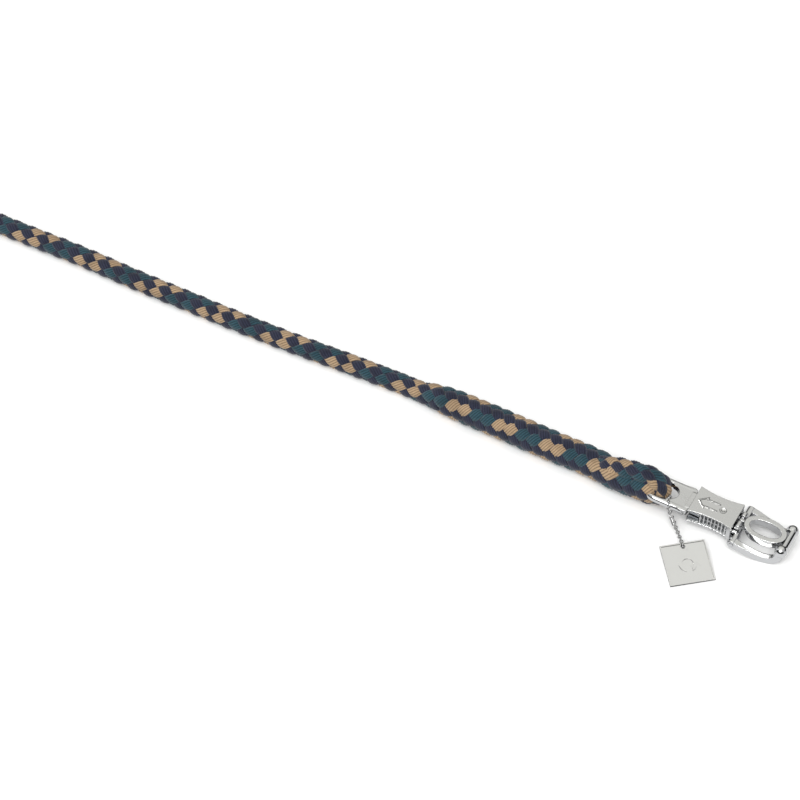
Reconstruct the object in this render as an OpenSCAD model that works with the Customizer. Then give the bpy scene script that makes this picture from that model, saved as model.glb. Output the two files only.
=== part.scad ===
// Lead rope: an eye-spliced, eight-strand braided rope on a quick-release (panic) snap hook,
// with a swing tag on a ball chain.
// The snap lies nose down along +X, its eye is lifted by the rope, and the floor is z = 0.
// Snap parts are drawn in the snap's own frame: the origin is the middle of the sleeve's
// front edge, x runs to the nose, -y is the tag's side and z is up.

/* [Release sleeve] */
// Length of the sleeve
sleeve_len = 34; // [32:0.5:38]
// Width of the sleeve at its flared ends
sleeve_w = 25.2; // [24.4:0.1:26]
// Height over both grip plates
sleeve_h = 13; // [12.5:0.1:14]
// How far each side is drawn in at the middle
sleeve_waist = 2.2; // [1:0.1:2.4]
// How far the sleeve slides back to let the hook go
sleeve_travel = 8.8; // [7:0.1:8.8]

/* [Eye and shank] */
// Diameter of the round bar of the eye
bar_d = 5.6; // [5:0.1:5.8]
// Inside width of the eye
eye_hole_w = 13.2; // [12.6:0.1:13.6]
// Width of the shank inside the sleeve
shank_w = 14.8; // [14:0.1:15]

/* [Hook and gate] */
// Diameter of the hook's cross bar
crossbar_d = 8.4; // [8:0.1:8.6]
// Length of the cross bar between its round ends
crossbar_len = 25.6; // [24:0.2:26]
// Width over the gate loop
gate_w = 20.4; // [18:0.2:21]
// Length of the gate loop
gate_len = 31.6; // [30:0.1:31.6]

/* [Rope] */
// Diameter of the plain braid
rope_d = 15.2; // [14:0.1:15.6]
// Diameter of the braid where the tail is buried in it
splice_d = 21.6; // [20:0.2:22]
// Diameter of the rope where it is squeezed through the eye
eye_rope_d = 12.2; // [11.8:0.1:12.4]

/* [Tag and chain] */
// Side of the square tag
tag_w = 32.8; // [31:0.2:34]
// Thickness of the tag
tag_t = 1.2; // [1:0.1:1.6]
// Diameter of a bead of the chain
bead_d = 2.3; // [2:0.1:2.4]

/* [Hidden] */
$fn = 48;

pitch = 3.5;                        // nose-down angle of the snap as it lies
clear = 0.35;                       // gap between bodies that move past each other
run_fit = 0.05;                     // radial clearance of a pin in a turning part

plate_z = sleeve_h / 2 - 3.2;       // underside of the sleeve's top plate
grip_z = sleeve_h / 2 - 1.3;        // underside of that plate's full-width edge
wall_inset = 1.5;                   // the side walls stand this far in from the edge
wide_end_x = -sleeve_len - 0.8;     // where the wide part of the body ends behind the sleeve
wall_rear_x = wide_end_x + sleeve_travel + 0.6;
collar_len = 3.4;                   // full-width collar at the sleeve's front

eye_front_x = -52.5;                // centres of the eye's two round ends
eye_rear_x = -60.2;
eye_r = eye_hole_w / 2 + bar_d / 2; // centreline of the eye's bar
body_half_w = 11.6;
plate_half_t = bar_d / 2 - 0.2;

stop_x = -11.6;                     // stop pin, in the slot of the shank
stop_r = 2.5;
slot_w = 2 * stop_r + 0.4;
slot_front_x = stop_x + stop_r + clear;
slot_rear_x = -32;

hook_pin = [3.9, -2.6];             // x and z of the two hinge pins
hook_pin_r = 1.5;
gate_pin = [2.9, 3.2];
gate_pin_r = 1;
lug_in = 8.0;                       // the hook's lugs lie between these distances from y = 0
lug_out = 18.6;
lug_r = 3.4;
ear_out = 7.4;
ear_r = 2.5;
tab_half = 1.2;                     // half thickness of the gate's tab, between the ears
slot_half = 1.6;
spring_pocket = 3.4;                // far side of the pocket that holds the gate's spring

crossbar = [38.2, 2.8];             // x and z of the cross bar
crossbar_r = crossbar_d / 2;
saddle_half = 7.3;                  // half width of the saddle in the cross bar for the gate's nose
gate_front_x = crossbar[0] - 0.9;
gate_mid_x = gate_front_x - gate_len / 2;

// Cubic curve through four control points
function curve(p, t) =
  pow(1 - t, 3) * p[0] + 3 * t * pow(1 - t, 2) * p[1] + 3 * t * t * (1 - t) * p[2] + pow(t, 3) * p[3];
function slope(p, t) =
  3 * pow(1 - t, 2) * (p[1] - p[0]) + 6 * t * (1 - t) * (p[2] - p[1]) + 3 * t * t * (p[3] - p[2]);
function unit(v) = v / norm(v);
function left(v) = [-v[1], v[0]];
// One edge of a band of half width h along a curve, on side s
function edge(p, h, s, n = 18) =
  [for (i = [0:n]) curve(p, i / n) + s * h * left(unit(slope(p, i / n)))];
function flip(v) = [for (i = [len(v) - 1:-1:0]) v[i]];

// Side view of a hook arm: from the pin, down to the belly and up to the cross bar
arm_side = [hook_pin, [15, -4.5], [39.5, -14], crossbar];
arm_half_h = 3.1;
arm_low = edge(arm_side, arm_half_h, -1);
// Plan view of the arm's outer and inner faces
arm_out = [[2.5, 18.6], [14, 18.6], [31, 16.9], [42.3, 12.4]];
arm_in = [[2.5, 13.4], [14, 14.0], [30, 13.1], [37.4, 9.2]];

// The belly of the hook touches the floor
lift = -min([for (p = arm_low) p[1] * cos(pitch) - p[0] * sin(pitch)]);

// A point of the snap's frame, in the floor's frame
function on_floor(p) =
  [p[0] * cos(pitch) + p[2] * sin(pitch), p[1], lift - p[0] * sin(pitch) + p[2] * cos(pitch)];

tag_turn = 39;                      // the tag's top edge is turned this far from the snap's axis
tag_tilt = 10;                      // the chain under the hole lifts the top edge
hole_at = [-26.4, -33.4, 5.8];      // middle of the tag's hole
hole_inset = 2.9;
hole_r = 1.75;

// The origin is the middle of the box of snap, chain and tag
rear_x = on_floor([eye_rear_x - eye_r, 0, 0])[0] - bar_d / 2;
nose_x = on_floor([crossbar[0], 0, crossbar[1]])[0] + crossbar_r + 0.5;
pin_end_y = lug_out + 0.4;
tag_corner_y = hole_at[1] - tag_w / 2 * sin(tag_turn)
  + ((hole_inset - tag_w) * cos(tag_tilt) - tag_t / 2 * sin(tag_tilt)) * cos(tag_turn);
origin_x = (rear_x + nose_x) / 2;
origin_y = (pin_end_y + tag_corner_y) / 2;

module at_floor() translate([-origin_x, -origin_y, 0]) children();
module at_snap() at_floor() translate([0, 0, lift]) rotate([0, pitch, 0]) children();

// A rod along y from y0 to y1, at an x and z
module cross_rod(at, r, y0, y1) translate([at[0], y1, at[1]]) rotate([90, 0, 0]) cylinder(r=r, h=y1 - y0);
// A side view (x, z) given thickness from y0 to y1
module side_plate(outline, y0, y1)
  translate([0, y1, 0]) rotate([90, 0, 0]) linear_extrude(height=y1 - y0) polygon(outline);
module both_sides() {
  children();
  mirror([0, 1, 0]) children();
}

// ---- Snap body: eye, wide plate, shank and head in one casting ----

module eye_bars() {
  translate([eye_rear_x, 0, 0]) rotate([0, 0, 90])
    rotate_extrude(angle=180) translate([eye_r, 0]) circle(d=bar_d);
  both_sides() translate([eye_rear_x, eye_r, 0]) rotate([0, 90, 0])
    cylinder(d=bar_d, h=wide_end_x - 3 - eye_rear_x);
}

module wide_plate() {
  corner = 1.6;
  translate([0, 0, -plate_half_t]) linear_extrude(height=2 * plate_half_t)
    polygon([
      [eye_front_x, -eye_r], [wide_end_x - 6, -body_half_w], [wide_end_x - corner, -body_half_w],
      [wide_end_x, corner - body_half_w], [wide_end_x, body_half_w - corner],
      [wide_end_x - corner, body_half_w],
      [wide_end_x - 6, body_half_w], [eye_front_x, eye_r]
    ]);
}

module head() {
  cross_rod(hook_pin, 3, -ear_out, ear_out);
  cross_rod(gate_pin, ear_r, -ear_out, ear_out);
  side_plate([
    [-3, -2.9], [0.4, -2.9], [hook_pin[0] - 1.5, hook_pin[1] - 2.6], hook_pin,
    [hook_pin[0] + 1.1, hook_pin[1] + 2.8], [gate_pin[0] + 1.2, gate_pin[1]],
    [gate_pin[0] - 2.2, gate_pin[1]], [0.6, 2.9], [-3, 2.9]
  ], -ear_out, ear_out);
}

module snap_body() color("silver") at_snap() difference() {
  union() {
    eye_bars();
    wide_plate();
    translate([wide_end_x - 3, -shank_w / 2, -2.9]) cube([1 - wide_end_x, shank_w, 5.8]);
    head();
  }
  // The eye's front end, through the plate
  translate([eye_front_x, 0, -5]) cylinder(d=eye_hole_w, h=10);
  translate([eye_front_x - 3, -eye_hole_w / 2 + 0.1, -5]) cube([3, eye_hole_w - 0.2, 10]);
  // Slot for the stop pin and its spring
  translate([slot_rear_x, -slot_w / 2, -5]) cube([slot_front_x - slot_rear_x, slot_w, 10]);
  // Space between the ears for the gate's tab and its spring
  cross_rod(gate_pin, ear_r + clear, -slot_half, spring_pocket);
  translate([gate_pin[0], -slot_half, 0.6]) cube([8, slot_half + spring_pocket, 8]);
  cross_rod(hook_pin, hook_pin_r + 0.02, -10, 10);
  cross_rod(gate_pin, gate_pin_r + 0.02, -10, 10);
}

// ---- Release sleeve: two waisted grip plates, ribbed side walls and a front collar ----

function sleeve_side(x) = sleeve_w / 2 - sleeve_waist * (1 - pow(2 * x / sleeve_len + 1, 2));
// Outline of the sleeve from x0 to x1, drawn in by inset
function sleeve_outline(x0, x1, inset, n = 10) =
  let (side = [for (i = [0:n]) let (x = x0 + (x1 - x0) * i / n) [x, sleeve_side(x) - inset]])
  concat(side, [for (p = flip(side)) [p[0], -p[1]]]);

module sleeve_layer(x0, x1, inset, z0, z1)
  translate([0, 0, z0]) linear_extrude(height=z1 - z0) polygon(sleeve_outline(x0, x1, inset));

// Raised arrow that points to the rope
module arrow() {
  tip = -31;
  barb = -24.6;
  tail = -15.2;
  line = 0.8;
  linear_extrude(height=0.8) difference() {
    polygon([[tip, 0], [barb, 5.6], [barb, 3.7], [tail, 3.7], [tail, -3.7], [barb, -3.7], [barb, -5.6]]);
    polygon([
      [tip + 1.6 * line, 0], [barb - line, 5.6 - 2 * line], [barb - line, 3.7 - line],
      [tail + 1, 3.7 - line], [tail + 1, line - 3.7], [barb - line, line - 3.7],
      [barb - line, 2 * line - 5.6]
    ]);
  }
}

module ribs() {
  count = 8;
  first = wall_rear_x + 1.2;
  pitch_x = (-collar_len - 1.4 - first) / (count - 1);
  for (i = [0:count - 1]) {
    x = first + i * pitch_x;
    both_sides() translate([x - 0.55, sleeve_side(x) - 2.6, -grip_z - 0.2])
      cube([1.1, 2.0, 2 * grip_z + 0.4]);
  }
}

module release_sleeve() color("gainsboro") at_snap() difference() {
  union() {
    for (z = [grip_z, -sleeve_h / 2]) sleeve_layer(-sleeve_len, 0, 0, z, z + sleeve_h / 2 - grip_z);
    for (z = [plate_z, -grip_z - 0.1])
      sleeve_layer(-sleeve_len, -collar_len, wall_inset, z, z + grip_z - plate_z + 0.1);
    sleeve_layer(wall_rear_x, -collar_len, wall_inset, -plate_z - 0.1, plate_z + 0.1);
    sleeve_layer(wall_rear_x, -collar_len, wall_inset - 0.5, -0.35, 0.35);
    sleeve_layer(-collar_len, 0, 0, -grip_z - 0.1, grip_z + 0.1);
    ribs();
    translate([0, 0, sleeve_h / 2 - 0.3]) arrow();
  }
  // Passage for the shank, wider at the mouth for the hook's heels
  translate([-sleeve_len, -shank_w / 2 - clear, -plate_z]) cube([sleeve_len + 1, shank_w + 2 * clear, 2 * plate_z]);
  translate([-2.6, -10.5, -plate_z]) cube([4, 21, 2 * plate_z]);
  translate([stop_x, 0, -10]) cylinder(r=stop_r, h=20);
}

// Staked pin through both plates, with a dished head
module stop_pin() color("gainsboro") at_snap() translate([stop_x, 0, 0]) difference() {
  translate([0, 0, -sleeve_h / 2]) cylinder(r=stop_r, h=sleeve_h + 0.3);
  translate([0, 0, sleeve_h / 2 + 2.4]) sphere(r=2.8);
}

// A tube swept along a list of points: a closed polyhedron of n-sided rings.
// Its sections are square to the way it runs and lean on a fixed direction, side.
function heading(pts, i) = pts[min(i + 1, len(pts) - 1)] - pts[max(i - 1, 0)];
function ring(pts, radii, i, n, side) =
  let (d = unit(heading(pts, i)), a = unit(cross(d, side)), b = cross(d, a))
  [for (k = [0:n - 1]) pts[i] + radii[i] * (cos(360 * k / n) * a + sin(360 * k / n) * b)];
module sweep(pts, radii, n, side) {
  m = len(pts);
  skin = [for (i = [0:m - 2], k = [0:n - 1])
    let (a = i * n + k, b = i * n + (k + 1) % n)
    each [[a, b, b + n], [a, b + n, a + n]]];
  first = [for (k = [n - 1:-1:0]) k];
  last = [for (k = [0:n - 1]) (m - 1) * n + k];
  polyhedron(
    points=[for (i = [0:m - 1]) each ring(pts, radii, i, n, side)], faces=concat(skin, [first, last])
  );
}
// A coil of wire about the x axis, from x0 to x1
function coil_x(x0, x1, r, turns, per_turn = 14) =
  [for (i = [0:turns * per_turn])
    let (a = 360 * i / per_turn) [x0 + (x1 - x0) * i / (turns * per_turn), r * cos(a), r * sin(a)]];
module wire(pts, d, n, side) sweep(pts, [for (p = pts) d / 2], n, side);

// Compression spring in the shank's slot, between its rear end and the stop pin
module sleeve_spring() color("dimgray") at_snap()
  wire(coil_x(slot_rear_x + 0.5, stop_x - stop_r - 0.5, 2.0, 9), 0.7, 6, [1, 0, 0]);

// ---- Hook: two arms, their lugs and heels, and the cross bar ----

module hook_arm() {
  intersection() {
    side_plate(concat(arm_low, flip(edge(arm_side, arm_half_h, 1))), 0, 22);
    translate([0, 0, -20]) linear_extrude(height=40)
      polygon(concat(
        [for (i = [0:14]) curve(arm_out, i / 14)], [for (i = [14:-1:0]) curve(arm_in, i / 14)]
      ));
  }
  cross_rod(hook_pin, lug_r, lug_in, lug_out);
  // Heel, locked inside the sleeve's mouth
  translate([-1.6, lug_in + 0.1, -1.8]) cube([hook_pin[0] + 1.6, 2, 3.2]);
}

module hook_fork() color("silver") at_snap() difference() {
  union() {
    both_sides() hook_arm();
    cross_rod(crossbar, crossbar_r, -crossbar_len / 2, crossbar_len / 2);
    both_sides() translate([crossbar[0], crossbar_len / 2 - 2.6, crossbar[1]]) sphere(r=crossbar_r + 0.5);
  }
  // Saddle that the gate's nose lies in
  translate([gate_front_x + 0.4 - 6, -saddle_half, -8]) cube([6, 2 * saddle_half, 20]);
  cross_rod(hook_pin, hook_pin_r + run_fit, -30, 30);
}

module hook_pin() color("gainsboro") at_snap() {
  cross_rod(hook_pin, hook_pin_r, -pin_end_y, pin_end_y);
}

// ---- Gate: closed loop with a tab on its own pin ----

// Oval with its widest half width at the middle, as points round the loop
function oval(cx, a, b, n = 48) =
  [for (i = [0:n - 1])
    let (c = cos(360 * i / n), s = sin(360 * i / n))
    [cx + a * sign(c) * pow(abs(c), 0.9), b * sign(s) * pow(abs(s), 0.9)]];
gate_bar = 3.9;
gate_side = [
  [gate_mid_x - gate_len / 2 - 1, 2.2], [8.4, 2.2], [13, 0], [gate_front_x + 1, 0],
  [gate_front_x + 1, 6.3], [gate_mid_x - gate_len / 2 - 1, 6.3]
];

module gate_loop() color("silver") at_snap() difference() {
  union() {
    intersection() {
      translate([0, 0, -5]) linear_extrude(height=15) difference() {
        polygon(oval(gate_mid_x, gate_len / 2, gate_w / 2));
        polygon(oval(gate_mid_x, gate_len / 2 - gate_bar, gate_w / 2 - gate_bar));
      }
      side_plate(gate_side, -15, 15);
    }
    cross_rod(gate_pin, 2.2, -tab_half, tab_half);
    translate([gate_pin[0], -tab_half, 2.3]) cube([5.4, 2 * tab_half, 3]);
  }
  cross_rod(gate_pin, gate_pin_r + run_fit, -5, 5);
}

module gate_pin() color("gainsboro") at_snap() cross_rod(gate_pin, gate_pin_r, -ear_out, ear_out);

// Torsion spring on the gate's pin, beside the tab, with one leg under the loop
module gate_spring() color("dimgray") at_snap() {
  wire_d = 0.4;
  coil_r = 1.55;
  turns = 3;
  per_turn = 14;
  coil = [for (i = [0:turns * per_turn])
    let (a = -90 + 360 * i / per_turn)
    [gate_pin[0] + coil_r * cos(a), 1.7 + 1.4 * i / (turns * per_turn), gate_pin[1] + coil_r * sin(a)]];
  leg = [[gate_pin[0] + 5.2, 1.7, gate_pin[1] - coil_r], [gate_pin[0] + 1.8, 1.7, gate_pin[1] - coil_r]];
  wire(concat(leg, coil), wire_d, 6, [0, 1, 0]);
}

// ---- Ball chain: a closed loop through the eye and the tag's hole ----

bar_at = on_floor([-50.5, -eye_r, 0]);
// Points of the chain's route, in the floor's frame
chain_route = [
  hole_at, [-28.2, -31.2, 8.2], [-33.4, -26.2, 9.6], [-40.4, -20, 14],
  bar_at + [3.6, -5.2, 4.2], bar_at + [1.2, -0.8, 5.6], bar_at + [0.4, 3.6, 4.2], bar_at + [0, 5.4, 0],
  bar_at + [0.2, 3.6, -4.2], bar_at + [1.6, -0.6, -5.6], [-44.8, -13, 6.4], [-40.8, -16.4, 3.6],
  [-36.4, -20.6, 2], [-31, -26.2, 1.5], [-27.2, -31.8, 1.6], hole_at
];
// Rounds a route: n points on each stretch of a smooth curve through all its points
function smooth(p, n) =
  [for (i = [0:len(p) - 2], k = [0:n - 1])
    let (a = p[max(i - 1, 0)], b = p[i], c = p[i + 1], d = p[min(i + 2, len(p) - 1)], t = k / n)
    0.5 * (2 * b + (c - a) * t + (2 * a - 5 * b + 4 * c - d) * t * t + (3 * b - a - 3 * c + d) * t * t * t)];
// Distance along a route at each of its points
function run_sums(p, i = 0, sum = 0) =
  i >= len(p) - 1 ? [sum] : concat([sum], run_sums(p, i + 1, sum + norm(p[i + 1] - p[i])));
// The point at a distance along a route
function along(p, sums, s) =
  [for (k = [0:2]) lookup(s, [for (i = [0:len(p) - 1]) [sums[i], p[i][k]]])];

chain_line = concat(smooth(chain_route, 5), [chain_route[0]]);
chain_sums = run_sums(chain_line);
bead_count = 24;
bead_pitch = chain_sums[len(chain_sums) - 1] / bead_count;
beads_at = [for (i = [0:bead_count]) along(chain_line, chain_sums, i * bead_pitch)];
connector_i = 16;                   // the beads held by the connector are this one and the next

module chain_beads() color("silver") at_floor()
  for (i = [0:bead_count - 1]) translate(beads_at[i]) sphere(d=bead_d, $fn=24);

// The short pin that joins each pair of beads
module link(a, b) {
  d = b - a;
  translate(a + d / norm(d) * (bead_d / 2 - 0.15)) rotate([0, acos(d[2] / norm(d)), atan2(d[1], d[0])])
    cylinder(d=0.7, h=norm(d) - bead_d + 0.3, $fn=16);
}
module chain_links() color("gainsboro") at_floor()
  for (i = [0:bead_count - 1]) if (i != connector_i) link(beads_at[i], beads_at[i + 1]);

// Clasp: a split tube that grips two beads
module chain_connector() color("silver") at_floor() {
  a = beads_at[connector_i];
  d = beads_at[connector_i + 1] - a;
  wall = 0.3;
  translate(a - d / norm(d) * 1.3) rotate([0, acos(d[2] / norm(d)), atan2(d[1], d[0])]) difference() {
    cylinder(d=bead_d + 2 * wall + 0.1, h=norm(d) + 2.6, $fn=24);
    translate([0, 0, -1]) cylinder(d=bead_d + 0.1, h=norm(d) + 5, $fn=24);
    translate([0.6, -0.3, -1]) cube([3, 0.6, norm(d) + 5]);
  }
}

// ---- Swing tag: a square plate with a raised rim and a plain horseshoe ----

module at_tag()
  at_floor() translate(hole_at) rotate([0, 0, tag_turn]) rotate([tag_tilt, 0, 0])
    translate([0, hole_inset - tag_w, -tag_t / 2]) children();

module horseshoe() {
  translate([0, 15.6, 0]) difference() {
    cylinder(r=6.4, h=0.3);
    translate([0, 0, -1]) cylinder(r=4.1, h=2);
    translate([-2.4, -8, -1]) cube([4.8, 8, 2]);
  }
}

module swing_tag() color("lightgray") at_tag() {
  rim_w = 0.9;
  difference() {
    translate([-tag_w / 2, 0, 0]) cube([tag_w, tag_w, tag_t]);
    translate([rim_w - tag_w / 2, rim_w, tag_t - 0.25]) cube([tag_w - 2 * rim_w, tag_w - 2 * rim_w, 1]);
    translate([0, tag_w - hole_inset, -1]) cylinder(r=hole_r, h=5, $fn=32);
  }
  translate([0, 0, tag_t - 0.35]) horseshoe();
}

// ---- Rope ----

function eased(t) = t * t * (3 - 2 * t);
rear_bar = on_floor([eye_rear_x - eye_r, 0, 0]);
wrap_r = bar_d / 2 + eye_rope_d / 2 + 0.15;
splice_front_x = -103;
splice_z = 12.5;                    // the splice's front end rides up a little to meet both legs

// The loop of rope round the eye's rear bar: upper leg, through the eye, lower leg
eye_route = concat(
  [[splice_front_x, 0, 18.6], [-97, 0, 20.2], [-89, 0, 22.3], [-80, 0, 23.6]],
  [for (a = [100:-20:-100]) rear_bar + wrap_r * [cos(a), 0, sin(a)]],
  [[-80, 0, 6.4], [-89, 0, 6.2], [-97, 0, 6.2], [splice_front_x, 0, 6.2]]
);
module rope_eye() color("tan") at_floor() wire(eye_route, eye_rope_d, 12, [0, 1, 0]);

// Standing part, as points on its way from the splice to the hank
splice_route = [
  [splice_front_x, 1, splice_z], [-110, 3, 11.7], [-124, 4, 11.2], [-150, 4.5, splice_d / 2],
  [-180, 6, splice_d / 2], [-205, 7, 10.6], [-222, 8, 9.4], [-236, 9, 7.9]
];
splice_r = [12.3, 11.6, 11.1, splice_d / 2, splice_d / 2, 10.5, 9.2, rope_d / 2];
module rope_splice() color("tan") at_floor() sweep(splice_route, splice_r, 12, [0, 0, 1]);

rope_z = rope_d / 2;
run_route = [
  [-236, 9, rope_z], [-275, 10.5, rope_z], [-320, 10, rope_z], [-365, 9, rope_z], [-410, 9, rope_z],
  [-455, 10, rope_z], [-500, 11, rope_z], [-545, 13, rope_z], [-590, 13.5, rope_z], [-630, 14, rope_z],
  [-665, 17, rope_z], [-695, 21, rope_z], [-720, 24, rope_z]
];
module rope_run() color("tan") at_floor() wire(run_route, rope_d, 12, [0, 0, 1]);

// Hank: two turns on each other, drawn together at the middle where they are tied
hank_mid = [-833, -20];
fold_r = 45;                        // centreline radius of its round ends
fold_x = 90;                        // centre of each round end, from the middle
neck_x = 8;
neck_y = rope_d / 2 + 0.2;
function hank_side(x) =
  neck_y + (fold_r - neck_y) * eased(min(max((x - neck_x) / (fold_x - neck_x), 0), 1));
function hank_quarter(grow) = concat(
  [for (i = [0:8]) let (x = fold_x * i / 8) [x, hank_side(x) + grow]],
  [for (a = [75:-15:0]) [fold_x, 0] + (fold_r + grow) * [cos(a), sin(a)]]
);
tie_len = 18;
tie_t = 1.6;
// Closed band round the hank's waist, grown by a margin
module tie_block(margin) {
  half_w = neck_y + rope_d / 2 + 0.1 + tie_t;
  translate([hank_mid[0] - tie_len / 2 - margin, hank_mid[1] - half_w, -margin])
    cube([tie_len + 2 * margin, 2 * half_w, 2 * rope_d + tie_t + 0.1 + margin]);
}
module tie_opening(margin) {
  half_w = neck_y + rope_d / 2 + 0.1;
  translate([hank_mid[0] - tie_len, hank_mid[1] - half_w, tie_t + margin])
    cube([2 * tie_len, 2 * half_w, 2 * rope_d - tie_t + 0.1 - margin]);
}
// The rope's whipped end, on the hank's top layer
end_x = 44;
whip_d = rope_d + 1.4;
module end_cap(margin)
  translate([hank_mid[0] + end_x, hank_mid[1] - hank_side(end_x), 1.5 * rope_d])
    rotate([0, 90, -34]) translate([0, 0, -margin]) cylinder(d=whip_d + 2 * margin, h=15 + 2 * margin);

module rope_hank() color("tan") at_floor() difference() {
  translate([hank_mid[0], hank_mid[1], 0]) linear_extrude(height=2 * rope_d) {
    q = hank_quarter(rope_d / 2);
    right = concat(q, [for (p = flip(q)) [p[0], -p[1]]]);
    polygon(concat(right, [for (p = flip(right)) [-p[0], p[1]]]));
  }
  difference() {
    tie_block(0.05);
    tie_opening(0.05);
  }
  end_cap(0.05);
}

module hank_tie() color("saddlebrown") at_floor() difference() {
  tie_block(0);
  tie_opening(0);
}

module rope_whipping() color("saddlebrown") at_floor() end_cap(0);

snap_body();
release_sleeve();
stop_pin();
sleeve_spring();
hook_fork();
hook_pin();
gate_loop();
gate_pin();
gate_spring();
chain_beads();
chain_links();
chain_connector();
swing_tag();
rope_eye();
rope_splice();
rope_run();
rope_hank();
hank_tie();
rope_whipping();
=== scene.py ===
import math

import bmesh
import bpy
import numpy as np
from mathutils import Matrix, Vector


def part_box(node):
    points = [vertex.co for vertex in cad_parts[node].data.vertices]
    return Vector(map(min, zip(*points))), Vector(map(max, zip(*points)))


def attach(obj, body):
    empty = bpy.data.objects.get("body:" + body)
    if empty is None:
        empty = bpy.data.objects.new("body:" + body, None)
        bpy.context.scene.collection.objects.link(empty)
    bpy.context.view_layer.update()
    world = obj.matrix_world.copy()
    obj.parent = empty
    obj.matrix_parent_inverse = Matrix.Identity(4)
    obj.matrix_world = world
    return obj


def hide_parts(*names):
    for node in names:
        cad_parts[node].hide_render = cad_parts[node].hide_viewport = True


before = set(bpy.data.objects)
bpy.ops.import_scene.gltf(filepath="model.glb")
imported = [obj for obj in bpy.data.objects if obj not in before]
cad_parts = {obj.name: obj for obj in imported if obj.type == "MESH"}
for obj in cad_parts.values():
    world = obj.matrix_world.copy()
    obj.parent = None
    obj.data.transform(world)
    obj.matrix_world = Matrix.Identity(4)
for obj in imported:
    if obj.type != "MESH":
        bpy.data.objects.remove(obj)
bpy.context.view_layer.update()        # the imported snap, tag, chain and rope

MM = 0.001
rng = np.random.default_rng(7)

# ---- Places, worked out from the frame ----

# part.scad draws the rope in its own frame, in millimetres: this is where its hank's middle is
HANK_MID = np.array([-833.0, -20.0, 0.0])
tie_lo, tie_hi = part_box("hank_tie")
SHIFT = np.array([(tie_lo.x + tie_hi.x) / 2, (tie_lo.y + tie_hi.y) / 2, 0]) - HANK_MID * MM

ROPE_R = 7.6             # radius of the plain braid
EYE_BAR_R = 2.8          # radius of the snap's rear bar, which the rope's eye goes round


def in_row(points):
    """Millimetres in the drawing's frame, as metres in the row frame."""
    return np.asarray(points, float) * MM + SHIFT


def unit(v):
    return v / np.linalg.norm(v, axis=-1, keepdims=True)


def smooth_line(points, per=12):
    """A smooth curve through every point, with per points on each stretch. It carries every column."""
    p = np.asarray(points, float)
    p = np.vstack([2 * p[0] - p[1], p, 2 * p[-1] - p[-2]])
    t = (np.arange(per) / per)[:, None]
    out = []
    for a, b, c, d in zip(p[:-3], p[1:-2], p[2:-1], p[3:]):
        out.append(0.5 * (2 * b + (c - a) * t + (2 * a - 5 * b + 4 * c - d) * t**2
                          + (3 * b - a - 3 * c + d) * t**3))
    return np.vstack([*out, p[-2:-1]])


def distances(line):
    """How far along a line each of its points is."""
    return np.concatenate([[0], np.cumsum(np.linalg.norm(np.diff(line[:, :3], axis=0), axis=1))])


def spaced(line, step):
    """The line again, with points about step apart."""
    along = distances(line)
    at = np.linspace(0, along[-1], max(2, round(along[-1] / step) + 1))
    return np.stack([np.interp(at, along, line[:, k]) for k in range(line.shape[1])], axis=1)


# ---- Camera ----


def make_camera():
    azimuth, elevation = math.radians(27.65), math.radians(48.24)
    camera = bpy.data.objects.new("camera", bpy.data.cameras.new("camera"))
    bpy.context.scene.collection.objects.link(camera)
    right = Vector((math.cos(azimuth), math.sin(azimuth), 0))
    back = Vector((math.sin(azimuth) * math.cos(elevation), -math.cos(azimuth) * math.cos(elevation),
                   math.sin(elevation)))
    turn = Matrix((right, back.cross(right), back)).transposed().to_4x4()
    camera.matrix_world = Matrix.Translation((0.519, -1.4535, 1.870)) @ turn
    camera.data.sensor_width = 36
    camera.data.lens = 153.2
    bpy.context.scene.camera = camera


make_camera()

# ---- The rope's route, from the snap to its whipped end ----

# x, y, z and the braid's radius. The braid is thick where the tail of the eye is buried in it.
STANDING = [
    (-60.5, -0.8, 14.2, 6.0), (-63, -1.0, 14.1, 9.6), (-66, -1.0, 14.0, 10.8), (-72, -0.8, 13.7, 11.15),
    (-80, -0.6, 13.3, 11.2), (-92, 0, 12.6, 11.2), (-103, 1.4, 12.1, 11.2),
    (-112, 3, 11.7, 11.2), (-126, 4, 11.4, 11.2), (-150, 4.5, 11.2, 11.2), (-180, 6, 11.2, 11.2),
    (-208, 7, 11.1, 11.1), (-232, 8, 10.8, 10.7), (-246, 9.2, 9.6, 9.1), (-258, 9.8, 7.9, 7.8),
    (-275, 10.5, 7.6, 7.6), (-320, 10, 7.6, 7.6), (-365, 9, 7.6, 7.6), (-410, 9, 7.6, 7.6),
    (-455, 10, 7.6, 7.6), (-500, 11, 7.6, 7.6), (-545, 13, 7.6, 7.6), (-590, 13.5, 7.6, 7.6),
    (-630, 14, 7.6, 7.6), (-665, 17, 7.6, 7.6), (-695, 21, 7.6, 7.6), (-720, 24, 7.6, 7.6),
]
SEEN_TO = -640           # the view's edge crosses the rope short of this x

# The hank, as part.scad has it, about its own middle
FOLD_R = 45.0
FOLD_X = 90.0
NECK_X = 8.0
NECK_Y = ROPE_R + 0.2
LOW_Z = ROPE_R
HIGH_Z = 3 * ROPE_R
RISE = 130.0             # the first turn climbs onto the second layer over this much of its last bend
END_X = 44.0             # where the whipping starts
WHIP_LEN = 15.0
WHIP_LEAN = 34           # degrees that the whipping leans from x


def eased(t):
    t = np.clip(t, 0, 1)
    return t * t * (3 - 2 * t)


def hank_side(x):
    return NECK_Y + (FOLD_R - NECK_Y) * eased((np.abs(x) - NECK_X) / (FOLD_X - NECK_X))


def long_side(x0, x1, sign, z):
    x = np.linspace(x0, x1, 25)
    return np.stack([x, sign * hank_side(x), np.full_like(x, z)], axis=1)


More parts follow.
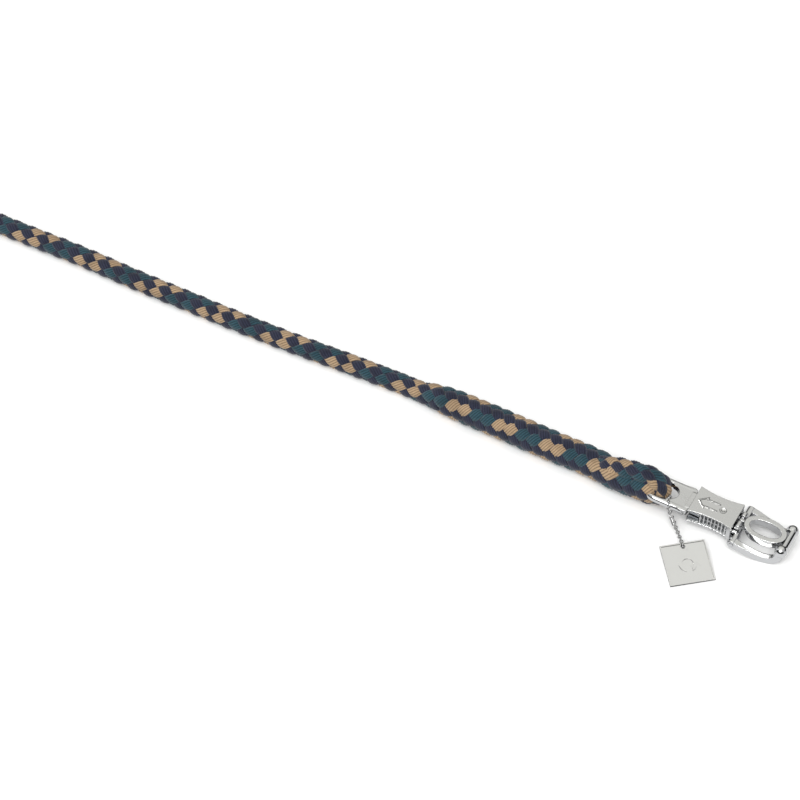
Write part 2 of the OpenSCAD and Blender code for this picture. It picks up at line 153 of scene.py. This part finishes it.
def bend(end, z0, z1):
    """The round end at x = end * FOLD_X: from +y to -y on the left, and from -y to +y on the right."""
    turned = np.linspace(0, 180, 25)
    angle = np.radians(90 + turned if end < 0 else turned - 90)
    z = z0 + (z1 - z0) * eased(turned / RISE)
    return np.stack([end * FOLD_X + FOLD_R * np.cos(angle), FOLD_R * np.sin(angle), z], axis=1)


def hank_line():
    stop = END_X + WHIP_LEN * math.cos(math.radians(WHIP_LEAN)) - 1
    parts = [
        long_side(FOLD_X, -FOLD_X, 1, LOW_Z), bend(-1, LOW_Z, LOW_Z), long_side(-FOLD_X, FOLD_X, -1, LOW_Z),
        bend(1, LOW_Z, HIGH_Z),
        long_side(FOLD_X, -FOLD_X, 1, HIGH_Z), bend(-1, HIGH_Z, HIGH_Z), long_side(-FOLD_X, stop, -1, HIGH_Z),
    ]
    line = np.vstack([parts[0]] + [p[1:] for p in parts[1:]]) + HANK_MID
    return np.hstack([line, np.full((len(line), 1), ROPE_R)])


def rope_line():
    """Points every half millimetre or so: x, y, z and radius, in metres in the row frame."""
    into = smooth_line(STANDING + [tuple(hank_line()[0])])
    line = spaced(np.vstack([into, hank_line()[1:]]), 0.5)
    return np.hstack([in_row(line[:, :3]), line[:, 3:] * MM])


def eye_line():
    """The loop through the snap's eye: x, y, z, half width and half thickness."""
    lo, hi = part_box("snap_body")
    rope_lo, rope_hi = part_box("rope_eye")
    bar = np.array([lo.x + EYE_BAR_R * MM, (lo.y + hi.y) / 2, (rope_lo.z + rope_hi.z) / 2]) / MM
    bar = (bar * MM - SHIFT) / MM
    rows = [(-106, 0, 15.0, 7.4, 5.6), (-99, 0, 18.6, 8.8, 6.2), (-91, -0.4, 21.4, 9.4, 6.6),
            (-83, -0.6, 23.2, 9.5, 6.6), (-76, -0.5, bar[2] + 8.9, 9.3, 6.4)]
    for a in range(90, -91, -18):
        deep = math.cos(math.radians(a)) ** 2
        thick = 6.4 + 1.9 * deep
        reach = EYE_BAR_R + 0.2 + thick
        rows.append((bar[0] + reach * math.cos(math.radians(a)), 0,
                     bar[2] + reach * math.sin(math.radians(a)), 8.6 - 2.2 * deep, thick))
    rows += [(-78, 0, 6.5, 8.4, 6.0), (-84, 0, 6.3, 8.8, 6.0), (-91, 0, 6.6, 8.6, 5.8),
             (-99, 0, 8.2, 7.6, 5.4)]
    line = spaced(smooth_line(rows), 0.4)
    return np.hstack([in_row(line[:, :3]), line[:, 3:] * MM])


# ---- Mesh helpers ----


def new_object(name, data):
    piece = bpy.data.objects.new(name, data)
    bpy.context.scene.collection.objects.link(piece)
    return piece


def mesh_piece(name, points, faces, materials, indices=None):
    mesh = bpy.data.meshes.new(name)
    mesh.from_pydata(np.asarray(points).tolist(), [], faces)
    for material in materials:
        mesh.materials.append(material)
    if indices is not None:
        mesh.polygons.foreach_set("material_index", np.asarray(indices, np.int32))
    mesh.polygons.foreach_set("use_smooth", np.ones(len(mesh.polygons), bool))
    mesh.update()
    return new_object(name, mesh)


def tube_faces(rings, per, first=0):
    """Quads between closed rings of points, and a face over each end."""
    i, k = np.meshgrid(np.arange(rings - 1), np.arange(per), indexing="ij")
    a = (first + i * per + k).ravel()
    b = (first + i * per + (k + 1) % per).ravel()
    quads = np.stack([a, b, b + per, a + per], axis=1).tolist()
    ends = [list(range(first + per - 1, first - 1, -1)),
            list(range(first + (rings - 1) * per, first + rings * per))]
    return quads + ends


def freeze(piece):
    """Applies a piece's modifiers."""
    graph = bpy.context.evaluated_depsgraph_get()
    mesh = bpy.data.meshes.new_from_object(piece.evaluated_get(graph), depsgraph=graph)
    piece.modifiers.clear()
    old, piece.data = piece.data, mesh
    bpy.data.meshes.remove(old)
    mesh.name = piece.name
    mesh.polygons.foreach_set("use_smooth", np.ones(len(mesh.polygons), bool))


def copy_of(node, name):
    """A CAD node's mesh in a new object, closed again where the file had split its edges."""
    bm = bmesh.new()
    bm.from_mesh(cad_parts[node].data)
    bmesh.ops.remove_doubles(bm, verts=bm.verts, dist=2e-6)
    mesh = bpy.data.meshes.new(name)
    bm.to_mesh(mesh)
    bm.free()
    return new_object(name, mesh)


# ---- Materials ----


def new_material(name, viewport):
    material = bpy.data.materials.new(name)
    material.use_nodes = True
    material.diffuse_color = (*viewport, 1)
    tree = material.node_tree
    return material, tree, tree.nodes["Principled BSDF"]


def node(tree, kind, **values):
    """A node with its inputs set by name, or linked where the value is a socket."""
    made = tree.nodes.new(kind)
    for key, value in values.items():
        if key.startswith("set_"):
            setattr(made, key[4:], value)
            continue
        socket = made.inputs[int(key[3:])] if key.startswith("in_") else made.inputs[key.replace("_", " ")]
        if isinstance(value, bpy.types.NodeSocket):
            tree.links.new(value, socket)
        else:
            socket.default_value = value
    return made


def blend_colour(tree, share, a, b):
    mixed = node(tree, "ShaderNodeMix", set_data_type="RGBA", in_0=share)
    for index, value in ((6, a), (7, b)):    # the node's two colour inputs
        if isinstance(value, bpy.types.NodeSocket):
            tree.links.new(value, mixed.inputs[index])
        else:
            mixed.inputs[index].default_value = (*value, 1)
    return mixed.outputs[2]


def stretch(tree, value, low, high, to_low=0.0, to_high=1.0):
    ranged = node(tree, "ShaderNodeMapRange", Value=value)
    for key, number in (("From Min", low), ("From Max", high), ("To Min", to_low), ("To Max", to_high)):
        ranged.inputs[key].default_value = number
    return ranged.outputs["Result"]


def metal(name, colour, rough, rough_spread, grain, cast_bump=0.12, dark=(0.30, 0.29, 0.28)):
    """Plated metal: cloudy roughness, a faint cast unevenness and fine grain."""
    material, tree, shader = new_material(name, colour)
    place = node(tree, "ShaderNodeTexCoord").outputs["Object"]
    cloud = node(tree, "ShaderNodeTexNoise", Vector=place, Scale=160.0, Detail=4.0, Roughness=0.6)
    fine = node(tree, "ShaderNodeTexNoise", Vector=place, Scale=5200.0, Detail=2.0, Roughness=0.6)
    wave = node(tree, "ShaderNodeTexNoise", Vector=place, Scale=330.0, Detail=1.5, Roughness=0.4)
    stain = stretch(tree, cloud.outputs[0], 0.62, 0.80, 0.0, 0.22)
    tree.links.new(blend_colour(tree, stain, colour, dark), shader.inputs["Base Color"])
    tree.links.new(stretch(tree, cloud.outputs[0], 0.35, 0.7, rough, rough + rough_spread),
                   shader.inputs["Roughness"])
    soft = node(tree, "ShaderNodeBump", Height=wave.outputs[0], Distance=0.0002, Strength=cast_bump)
    sharp = node(tree, "ShaderNodeBump", Height=fine.outputs[0], Distance=0.00003, Strength=grain,
                 Normal=soft.outputs[0])
    tree.links.new(sharp.outputs[0], shader.inputs["Normal"])
    shader.inputs["Metallic"].default_value = 1.0
    return material


def yarn(name, colour, light, dark):
    """Spun cotton: fibres that wind along each yarn, with painted shade down between the yarns."""
    material, tree, shader = new_material(name, colour)
    across = node(tree, "ShaderNodeAttribute", set_attribute_name="yarn_across").outputs["Fac"]
    along = node(tree, "ShaderNodeAttribute", set_attribute_name="yarn_along").outputs["Fac"]
    place = node(tree, "ShaderNodeTexCoord").outputs["Object"]
    lean = node(tree, "ShaderNodeMath", set_operation="MULTIPLY_ADD", in_0=along, in_1=0.55, in_2=across)
    turned = node(tree, "ShaderNodeCombineXYZ", X=lean.outputs[0],
                  Y=node(tree, "ShaderNodeMath", set_operation="MULTIPLY", in_0=along, in_1=0.22).outputs[0])
    fibre = node(tree, "ShaderNodeTexNoise", Vector=turned.outputs[0], Scale=5.0, Detail=5.0, Roughness=0.7)
    fuzz = node(tree, "ShaderNodeTexNoise", Vector=place, Scale=2600.0, Detail=3.0, Roughness=0.7)
    patch = node(tree, "ShaderNodeTexNoise", Vector=place, Scale=75.0, Detail=2.0, Roughness=0.5)
    # painted shade: the colour is mixed towards the dark colour down in the valleys between the yarns
    wave = node(tree, "ShaderNodeMath", set_operation="PINGPONG", in_0=across, in_1=0.5)
    valley_shade = stretch(tree, wave.outputs[0], 0.0, 0.34, 1.0, 0.0)
    body = blend_colour(tree, stretch(tree, fibre.outputs[0], 0.38, 0.66), colour, light)
    body = blend_colour(tree, stretch(tree, patch.outputs[0], 0.45, 0.75, 0.0, 0.45), body, dark)
    body = blend_colour(tree, stretch(tree, valley_shade, 0.0, 1.0, 0.0, 0.8), body, dark)
    tree.links.new(body, shader.inputs["Base Color"])
    strands = node(tree, "ShaderNodeBump", Height=fibre.outputs[0], Distance=0.00035, Strength=0.7)
    hairs = node(tree, "ShaderNodeBump", Height=fuzz.outputs[0], Distance=0.00012, Strength=0.5,
                 Normal=strands.outputs[0])
    tree.links.new(hairs.outputs[0], shader.inputs["Normal"])
    tree.links.new(stretch(tree, fuzz.outputs[0], 0.3, 0.7, 0.82, 0.98), shader.inputs["Roughness"])
    shader.inputs["Specular IOR Level"].default_value = 0.22
    shader.inputs["Sheen Weight"].default_value = 0.18
    shader.inputs["Sheen Roughness"].default_value = 0.5
    return material


def leather(name, colour, light, dark):
    material, tree, shader = new_material(name, colour)
    place = node(tree, "ShaderNodeTexCoord").outputs["Object"]
    grain = node(tree, "ShaderNodeTexVoronoi", Vector=place, Scale=1500.0)
    patch = node(tree, "ShaderNodeTexNoise", Vector=place, Scale=220.0, Detail=4.0, Roughness=0.6)
    body = blend_colour(tree, stretch(tree, patch.outputs[0], 0.35, 0.7), colour, light)
    body = blend_colour(tree, stretch(tree, grain.outputs["Distance"], 0.0, 0.35, 0.55, 0.0), body, dark)
    tree.links.new(body, shader.inputs["Base Color"])
    bump = node(tree, "ShaderNodeBump", Height=grain.outputs["Distance"], Distance=0.0003, Strength=0.5)
    tree.links.new(bump.outputs[0], shader.inputs["Normal"])
    tree.links.new(stretch(tree, patch.outputs[0], 0.3, 0.7, 0.42, 0.62), shader.inputs["Roughness"])
    return material


NICKEL = metal("cast_nickel", (0.485, 0.49, 0.50), 0.04, 0.06, 0.05)
SATIN = metal("satin_nickel", (0.74, 0.74, 0.715), 0.22, 0.08, 0.20)
# painted shade and dark reflection: near-black nickel for the sleeve's recess behind its ribs
PAINTED_RECESS_SHADE = metal("recess_painted_shade", (0.09, 0.095, 0.10), 0.12, 0.08, 0.10)
TAG_METAL = metal("tag_nickel", (0.84, 0.84, 0.81), 0.16, 0.08, 0.25, cast_bump=0.05)
BEAD_METAL = metal("bead_nickel", (0.30, 0.30, 0.30), 0.10, 0.08, 0.10)
# painted shade and dark reflection: near-black metal for the steep walls of the tag's relief, the arrow's
# sides and the stop pin's sides
PAINTED_EDGE_SHADE = metal("painted_edge_shade", (0.09, 0.09, 0.09), 0.25, 0.08, 0.10)
STEEL = metal("spring_steel", (0.45, 0.45, 0.46), 0.25, 0.12, 0.20)
TAN = yarn("yarn_tan", (0.335, 0.232, 0.137), (0.50, 0.36, 0.23), (0.085, 0.052, 0.027))
TEAL = yarn("yarn_teal", (0.013, 0.047, 0.066), (0.042, 0.096, 0.122), (0.002, 0.008, 0.012))
NAVY = yarn("yarn_navy", (0.014, 0.0165, 0.037), (0.041, 0.046, 0.077), (0.0025, 0.003, 0.007))
SADDLE = leather("tie_leather", (0.16, 0.065, 0.025), (0.24, 0.11, 0.05), (0.05, 0.02, 0.01))
TWINE = yarn("whipping_twine", (0.05, 0.05, 0.09), (0.10, 0.10, 0.16), (0.012, 0.012, 0.03))

# ---- Braid: eight strands of five yarns, one over one ----

WAYS = 4                 # strands that wind each way
YARNS = 5
COLOURS = (0, 0, 1, 1)   # tan, tan, teal, teal one way; navy the other way
NAVY_INDEX = 2
SWING = 1.15 * MM        # how far a strand rises and dips as it goes over and under
CROWN = 1.05 * MM
RIDGE = 0.42 * MM
STRAND_T = 2.5 * MM
PROUD = 0.45 * MM        # how far the braid stands out past its line's radius
OVERLAP = 1.03           # how much wider a strand is than its share of the rope's girth
WOBBLE = 0.05            # unevenness of a strand's width and swing
STRAY = 0.05             # radians that a strand wanders round the rope
OFF_FLOOR = 0.1 * MM     # the braid is pressed flat this far above the floor


def section(u):
    """Height of a strand's top at u, from -1 to 1 across it, over its own middle height."""
    f = (u + 1) / 2 * YARNS % 1
    ridge = np.sqrt(np.clip(1 - (2 * f - 1) ** 2, 0, 1))
    return -CROWN * np.abs(u) ** 2.4 + RIDGE * (ridge - 1)


def braid(name, line, half_w, half_h, lay, ref, steps, turn, phase=0.0):
    """One closed ribbon per strand, woven round a line. half_w and half_h are the rope's half sizes to its
    side and upward at each point, lay is the length of one turn, and steps are where rings are made."""
    along = distances(line)
    heading = unit(np.gradient(line, axis=0))
    side = unit(np.cross(heading, ref))
    up = np.cross(side, heading)
    turns = np.concatenate([[0], np.cumsum(np.diff(along) / ((lay[1:] + lay[:-1]) / 2))]) + phase

    def at(s, values):
        s = np.clip(s, 0, along[-1])
        if values.ndim == 1:
            return np.interp(s, along, values)
        return np.stack([np.interp(s, along, values[:, k]) for k in range(3)], axis=-1)

    # A strand's section: along its top, then back along its underside
    top_u = np.arange(2 * YARNS + 1) / YARNS - 1
    low_u = np.array([0.6, 0.0, -0.6])
    u = np.concatenate([top_u, low_u])
    is_low = np.arange(len(u)) >= len(top_u)
    points, faces, indices, across_all, along_all = [], [], [], [], []
    for way in (1, -1):
        for i in range(WAYS):
            s = steps
            mean_r = (at(s, half_w) + at(s, half_h)) / 2
            pull = way * 2 * math.pi * mean_r / at(s, lay)
            size = np.sqrt(1 + pull**2)
            half = OVERLAP * math.pi * mean_r / WAYS / size
            wobble = 1 + WOBBLE * np.interp(s, np.linspace(0, along[-1], 80), rng.standard_normal(80))
            mid = at(s, turns)
            stray = STRAY * np.interp(s, np.linspace(0, along[-1], 140), rng.standard_normal(140))
            over = np.cos(2 * math.pi * WAYS * mid) * way
            over = over * (1.3 - 0.3 * over**2)
            where = s[:, None] - u[None, :] * (half * pull / size)[:, None]
            theta = (2 * math.pi * (i / WAYS + at(s, turn) + way * mid) + stray)[:, None] \
                + u[None, :] * (half * wobble / size / mean_r)[:, None]
            lift = (SWING * over * wobble - SWING + PROUD)[:, None] + section(u)[None, :]
            lift = np.where(is_low[None, :], (SWING * over - SWING - STRAND_T)[:, None], lift)
            a = at(where, half_w) + lift
            b = at(where, half_h) + lift
            p = at(where, line) + at(where, side) * (a * np.cos(theta))[..., None] \
                + at(where, up) * (b * np.sin(theta))[..., None]
            p[..., 2] = np.maximum(p[..., 2], OFF_FLOOR)
            first = len(across_all)
            fs = tube_faces(len(s), len(u), first)
            if way > 0:
                fs = [f[::-1] for f in fs]
            points.append(p.reshape(-1, 3))
            faces += fs
            indices += [COLOURS[i] if way > 0 else NAVY_INDEX] * len(fs)
            across_all += np.broadcast_to((u + 1) / 2 * YARNS, p.shape[:2]).ravel().tolist()
            along_all += np.broadcast_to((s / MM)[:, None] + 13 * i, p.shape[:2]).ravel().tolist()
    piece = mesh_piece(name, np.vstack(points), faces, [TAN, TEAL, NAVY], indices)
    for key, values in (("yarn_across", across_all), ("yarn_along", along_all)):
        attribute = piece.data.attributes.new(key, "FLOAT", "POINT")
        attribute.data.foreach_set("value", np.asarray(values, np.float32))
    return piece


UP = np.array([0.0, 0.0, 1.0])
PLAIN_LAY = 55.0 * MM
THICK_LAY = 38.5 * MM


def make_rope():
    rope = rope_line()
    along = distances(rope)
    radius = rope[:, 3]
    thick = np.clip((radius - ROPE_R * MM) / (3.2 * MM), 0, 1)
    lay = PLAIN_LAY + (THICK_LAY - PLAIN_LAY) * thick
    lay = lay + 15 * MM * np.exp(-((rope[:, 0] - SHIFT[0] + 100 * MM) / (15 * MM)) ** 2)
    # The braid lies turned a little on its way from the splice into the plain rope
    turn = np.interp(-(rope[:, 0] - SHIFT[0]) / MM, [225, 270, 335], [-0.122, -0.075, -0.045])
    seen = along[np.argmax(rope[:, 0] < SEEN_TO * MM + SHIFT[0])]
    steps = np.concatenate([np.arange(0, seen, 1.5 * MM), np.arange(seen, along[-1], 2.7 * MM), [along[-1]]])
    piece = braid("lead_rope", rope[:, :3], radius, radius, lay, UP, steps, turn, phase=-0.585)
    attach(piece, "line")
    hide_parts("rope_splice", "rope_run", "rope_hank")
    return piece, rope[:, :3]


def make_eye():
    eye = eye_line()
    along = distances(eye)
    lay = np.full(len(eye), 44 * MM)
    steps = np.append(np.arange(0, along[-1], 1.2 * MM), along[-1])
    piece = braid("rope_eye_loop", eye[:, :3], eye[:, 3], eye[:, 4], lay, np.array([0.0, -1.0, 0.0]), steps,
                  np.zeros(len(eye)))
    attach(piece, "line")
    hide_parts("rope_eye")
    return piece


def make_whipping(rope):
    """Twine wound round the rope's end, over a domed end of cut yarns."""
    turns, wire_r, per = 10, 0.75 * MM, 40
    along = distances(rope)
    heading = unit(rope[-1] - rope[-30])
    side = unit(np.cross(heading, UP))
    up = np.cross(side, heading)
    start = along[-1] - (WHIP_LEN - 2.4) * MM
    wound = np.linspace(0, 2 * math.pi * turns, turns * per + 1)
    s = start + wire_r + (turns * 2 * wire_r - 2 * wire_r) * wound / wound[-1]
    mid = np.stack([np.interp(s, along, rope[:, axis]) for axis in range(3)], axis=1)
    radial = side * np.cos(wound)[:, None] + up * np.sin(wound)[:, None]
    centre = mid + radial * (ROPE_R * MM + 0.1 * MM)
    angle = np.linspace(0, 2 * math.pi, 8, endpoint=False)
    ring = centre[:, None, :] + wire_r * (radial[:, None, :] * np.cos(angle)[None, :, None]
                                          + heading[None, None, :] * np.sin(angle)[None, :, None])
    points, faces = ring.reshape(-1, 3), tube_faces(len(wound), len(angle))
    indices = [0] * len(faces)
    # The dome, as rings from its edge to its middle
    angle = np.linspace(0, 2 * math.pi, 32, endpoint=False)
    outward = side * np.cos(angle)[:, None] + up * np.sin(angle)[:, None]
    base = rope[-1] - heading * 2.5 * MM
    rises = np.radians(np.linspace(0, 88, 9))
    dome = [base + heading * 4.2 * MM * math.sin(rise) + outward * (ROPE_R - 0.5) * MM * math.cos(rise)
            for rise in rises]
    dome_faces = tube_faces(len(rises), len(angle), len(points))
    points = np.vstack([points, *dome])
    faces += dome_faces
    indices += [1] * len(dome_faces)
    piece = mesh_piece("end_whipping", points, faces, [TWINE, NAVY], indices)
    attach(piece, "line")
    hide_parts("rope_whipping")
    return piece


def make_tie():
    """A leather band round the hank's waist, with round corners and the lap of its end on top."""
    lo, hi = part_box("hank_tie")
    lo, hi = np.array(lo), np.array(hi)
    thick, corner, bulge = 1.5 * MM, 5.5 * MM, 0.12 * MM
    half_y, half_z = (hi[1] - lo[1]) / 2 - thick / 2, (hi[2] - lo[2]) / 2 - thick / 2
    outline = []
    for cy, cz, start in ((1, 1, 0), (-1, 1, 90), (-1, -1, 180), (1, -1, 270)):
        for a in range(start, start + 91, 10):
            outline.append((cy * (half_y - corner) + corner * math.cos(math.radians(a)),
                            cz * (half_z - corner) + corner * math.sin(math.radians(a))))
    path = np.array(outline + outline[:5])
    mid = (lo + hi) / 2
    normal = unit(np.stack([np.gradient(path[:, 1]), -np.gradient(path[:, 0])], axis=1))
    lapped = np.clip((np.linspace(0, 1, len(path)) - 0.86) * 12, 0, 1)
    path = path + normal * (1.1 * MM * lapped)[:, None]
    xs = np.linspace(-1, 1, 9)
    half_x = (hi[0] - lo[0]) / 2 - 0.3 * MM
    edge = 1 - xs**8
    half = thick / 2 * (0.55 + 0.45 * edge)
    out_by = np.concatenate([half + bulge * (1 - xs * xs), -half[::-1]])
    across = np.concatenate([xs, xs[::-1]]) * half_x
    points = []
    for (y, z), n in zip(path, normal):
        points += [mid + (x, y + n[0] * out, z + n[1] * out) for x, out in zip(across, out_by)]
    points = np.array(points)
    points[:, 2] = np.maximum(points[:, 2], 0.05 * MM)
    piece = mesh_piece("leather_tie", points, tube_faces(len(path), 2 * len(xs)), [SADDLE])
    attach(piece, "line")
    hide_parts("hank_tie")
    return piece


lead_rope, lead_line = make_rope()
eye_loop = make_eye()
whipping = make_whipping(lead_line)
tie = make_tie()

# ---- Castings: the CAD's own shapes, with the rounded edges of plated die castings ----


def casting(cad_node, name, body, materials, voxel, rounds):
    piece = copy_of(cad_node, name)
    remesh = piece.modifiers.new("remesh", "REMESH")
    remesh.mode = "VOXEL"
    remesh.voxel_size = voxel * MM
    soften = piece.modifiers.new("soften", "SMOOTH")
    soften.factor = 0.5
    soften.iterations = rounds
    freeze(piece)
    piece.data.materials.clear()
    for material in materials:
        piece.data.materials.append(material)
    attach(piece, body)
    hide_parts(cad_node)
    return piece


def finish_faces(piece, test):
    """Gives each face the material that a test picks by the face's middle and its normal."""
    count = len(piece.data.polygons)
    centre, normal = np.zeros(count * 3), np.zeros(count * 3)
    piece.data.polygons.foreach_get("center", centre)
    piece.data.polygons.foreach_get("normal", normal)
    chosen = test(centre.reshape(-1, 3), normal.reshape(-1, 3))
    piece.data.polygons.foreach_set("material_index", chosen.astype(np.int32))


# The snap as part.scad has it, in millimetres in the snap's own frame, with x to the nose
PITCH = math.radians(3.5)
PIN_X, PIN_Z = 3.9, -2.6     # the hook's pin
PIN_MID = np.array([(a + b) / 2 for a, b in zip(*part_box("hook_pin"))])
SLEEVE_LEN = 34.0
SLEEVE_HALF_W = 12.6
WAIST_IN = 2.2               # how far the sleeve's sides come in at the waist
ARROW_LOW_Z = 6.2            # the foot of the arrow, just inside the sleeve's top
ARROW_X = (-32.0, -14.6)
ARROW_HALF_W = 6.2
RECESS_IN = 1.2              # what lies further in than this from the sleeve's side is in the recess
RECESS_HALF_H = 5.35         # a little more than from the middle to the grip plates
RECESS_FRONT_X = -3.0
RECESS_INNER_Y = 7.0
UPWARD = 0.90                # faces whose normal has more z than this are satin


def in_snap(points):
    """Row metres as millimetres in the snap's own frame."""
    p = (points - PIN_MID) / MM
    x = p[:, 0] * math.cos(PITCH) - p[:, 2] * math.sin(PITCH)
    z = p[:, 0] * math.sin(PITCH) + p[:, 2] * math.cos(PITCH)
    return x + PIN_X, p[:, 1], z + PIN_Z


def faces_up(centre, normal):
    return normal[:, 2] > UPWARD


def sleeve_faces(centre, normal):
    """Satin on the top and its arrow; painted shade and dark reflection in the recess behind the ribs and on
    the arrow's sides.
    """
    x, y, z = in_snap(centre)
    y, high = np.abs(y), faces_up(centre, normal)
    edge = SLEEVE_HALF_W - WAIST_IN * (1 - (2 * x / SLEEVE_LEN + 1) ** 2)
    arrow = (z > ARROW_LOW_Z) & (x > ARROW_X[0]) & (x < ARROW_X[1]) & (y < ARROW_HALF_W)
    # painted shade: the arrow's steep sides and the recess behind the ribs take the near-black materials
    arrow_side = arrow & (normal[:, 2] < UPWARD) & (normal[:, 0] > -0.30)
    recess = (y < edge - RECESS_IN) & (y > RECESS_INNER_Y) & (np.abs(z) < RECESS_HALF_H)
    recess &= (x > -SLEEVE_LEN) & (x < RECESS_FRONT_X)
    return np.select([recess, arrow_side, high | arrow], [2, 3, 1], 0)


body_casting = casting("snap_body", "snap_casting", "line", [NICKEL, SATIN], 0.38, 4)
finish_faces(body_casting, faces_up)
sleeve_casting = casting("release_sleeve", "sleeve_casting", "sleeve",
                         [NICKEL, SATIN, PAINTED_RECESS_SHADE, PAINTED_EDGE_SHADE], 0.28, 2)
finish_faces(sleeve_casting, sleeve_faces)
hook_casting = casting("hook_fork", "hook_casting", "hook", [NICKEL, SATIN], 0.36, 5)
finish_faces(hook_casting, faces_up)
gate_casting = casting("gate_loop", "gate_casting", "gate", [NICKEL, SATIN], 0.32, 3)
finish_faces(gate_casting, faces_up)
# painted shade: the staked pin's sides take the near-black material, its top satin
stop_head = casting("stop_pin", "staked_pin", "sleeve", [SATIN, PAINTED_EDGE_SHADE], 0.15, 3)
finish_faces(stop_head, lambda centre, normal: normal[:, 2] < 0.7)


RELIEF_DEPTH = 0.12          # what is this near a piece's top, in millimetres, counts as its relief


def crisp(cad_node, name, body, material, width, raised=0.0):
    """A CAD node with its sharp edges bevelled, and its relief raised a little, all in millimetres."""
    piece = copy_of(cad_node, name)
    bm = bmesh.new()
    bm.from_mesh(piece.data)
    bmesh.ops.dissolve_limit(bm, angle_limit=math.radians(1), verts=bm.verts, edges=bm.edges)
    for face in bm.faces:
        face.smooth = True
    if raised:
        upward = [face for face in bm.faces if face.normal.z > 0]
        up = max(upward, key=lambda face: face.calc_area()).normal.copy()
        top = max(vert.co.dot(up) for vert in bm.verts)
        for vert in bm.verts:
            if top - vert.co.dot(up) < RELIEF_DEPTH * MM:
                vert.co += up * raised * MM
    bm.to_mesh(piece.data)
    bm.free()
    bevel = piece.modifiers.new("bevel", "BEVEL")
    bevel.width = width * MM
    bevel.segments = 3
    bevel.limit_method = "ANGLE"
    bevel.angle_limit = math.radians(40)
    bevel.harden_normals = True
    freeze(piece)
    piece.data.materials.clear()
    piece.data.materials.append(material)
    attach(piece, body)
    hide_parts(cad_node)
    return piece


def make_tag():
    """The tag, flat shaded, with painted shade on its steep walls, which take a near-black material. Its
    relief is its rim and its horseshoe.
    """
    tag = crisp("swing_tag", "tag_plate", "tag", TAG_METAL, 0.05, raised=0.35)
    tag.data.materials.append(PAINTED_EDGE_SHADE)
    count = len(tag.data.polygons)
    tag.data.polygons.foreach_set("use_smooth", np.zeros(count, bool))
    areas = np.zeros(count)
    tag.data.polygons.foreach_get("area", areas)
    largest = np.argmax(areas)
    # painted shade on the walls that stand steep to the tag's face
    finish_faces(tag, lambda centre, normal: np.abs(normal @ normal[largest]) < 0.45)


make_tag()
crisp("hook_pin", "hook_hinge_pin", "line", NICKEL, 0.35)
crisp("gate_pin", "gate_hinge_pin", "line", NICKEL, 0.2)


def dress(name, material):
    """A CAD node that stays, with a material of its own."""
    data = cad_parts[name].data
    data.materials.clear()
    data.materials.append(material)


for name in ("chain_beads", "chain_links", "chain_connector"):
    dress(name, BEAD_METAL)
for name in ("sleeve_spring", "gate_spring"):
    dress(name, STEEL)

# ---- Floor, light and air ----


def make_floor():
    floor = mesh_piece("floor", [(-6, -6, 0), (6, -6, 0), (6, 6, 0), (-6, 6, 0)], [(0, 1, 2, 3)], [])
    material, tree, shader = new_material("floor_paper", (0.9, 0.9, 0.9))
    place = node(tree, "ShaderNodeTexCoord").outputs["Object"]
    cloud = node(tree, "ShaderNodeTexNoise", Vector=place, Scale=3.0, Detail=2.0)
    colour = blend_colour(tree, cloud.outputs[0], (0.93, 0.93, 0.925), (0.95, 0.95, 0.945))
    tree.links.new(colour, shader.inputs["Base Color"])
    shader.inputs["Roughness"].default_value = 0.7
    floor.data.materials.append(material)


def make_light(name, place, target, size, power):
    data = bpy.data.lights.new(name, "AREA")
    data.shape = "RECTANGLE"
    data.size, data.size_y = size
    data.energy = power
    light = new_object(name, data)
    light.location = place
    light.rotation_euler = (Vector(target) - Vector(place)).to_track_quat("-Z", "Y").to_euler()


def make_world():
    """Pale air overhead and a dark band for the metal to reflect, with a pale window at each end of x."""
    world = bpy.data.worlds.new("studio")
    bpy.context.scene.world = world
    world.use_nodes = True
    tree = world.node_tree
    direction = node(tree, "ShaderNodeTexCoord").outputs["Generated"]
    parts = node(tree, "ShaderNodeSeparateXYZ", Vector=direction)
    ramp = node(tree, "ShaderNodeValToRGB", Fac=parts.outputs["Z"])
    stops = ramp.color_ramp.elements
    for stop, (position, value) in zip((stops[0], stops[1]), ((0.0, 0.30), (1.0, 1.1))):
        stop.position = position
        stop.color = (value, value, value, 1)
    for position, value in ((0.06, 0.015), (0.43, 0.025), (0.54, 0.70), (0.80, 0.72), (0.95, 0.80)):
        stop = stops.new(position)
        stop.color = (value, value, value * 0.99, 1)
    windows = node(tree, "ShaderNodeMath", set_operation="ABSOLUTE", in_0=parts.outputs["X"])
    pale = stretch(tree, windows.outputs[0], 0.88, 0.93)
    lit = blend_colour(tree, pale, ramp.outputs[0], (0.95, 0.95, 0.95))
    tree.links.new(lit, tree.nodes["Background"].inputs["Color"])
    tree.nodes["Background"].inputs["Strength"].default_value = 1.0


make_floor()
make_light("front", (0.35, -1.75, 2.35), (-0.2, 0, 0), (2.4, 1.9), 78)
make_light("left", (-2.3, -0.3, 1.3), (-0.2, 0, 0), (0.5, 1.6), 12)
make_world()
bpy.context.scene.view_settings.view_transform = "Standard"
